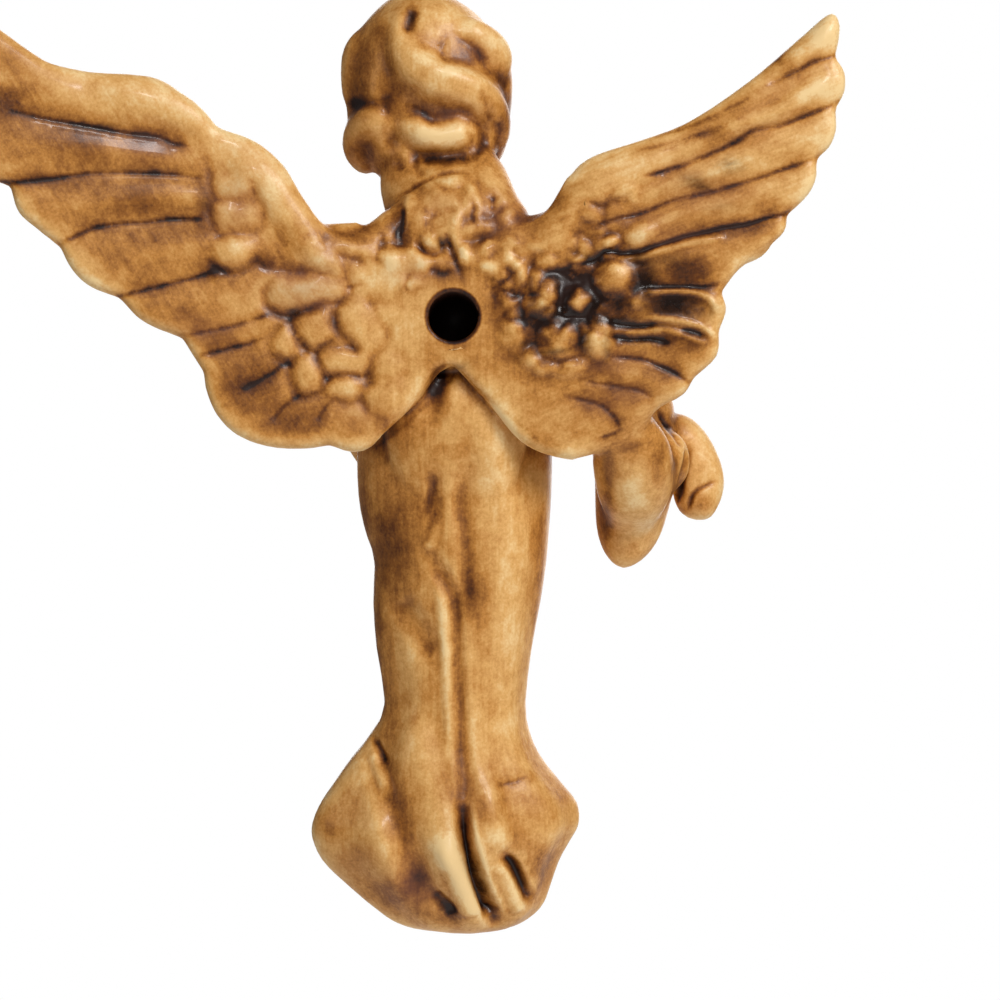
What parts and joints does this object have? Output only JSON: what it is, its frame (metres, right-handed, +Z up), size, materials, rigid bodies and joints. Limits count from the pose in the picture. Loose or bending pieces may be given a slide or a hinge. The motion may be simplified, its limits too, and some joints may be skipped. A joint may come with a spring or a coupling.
{
  "type": "ceramic nativity angel",
  "caption": "One-piece ceramic nativity angel with spread wings, curled hair and a long gown, made to hang from a round blind hole in its back.",
  "frame": {"origin": "centre of the hanging hole's mouth, in the back between the wings", "axes": "+Z up to the crown, +Y straight out of the back through the hanging hole, the face looks along -Y"},
  "size_m": [0.2301, 0.0705, 0.2449],
  "materials": {
    "woodtone_glaze": "semi-gloss wood-tone glaze, golden tan with brown stain in the creases"
  },
  "bodies": {
    "root": {"angel": "woodtone_glaze"}
  },
  "joints": []
}
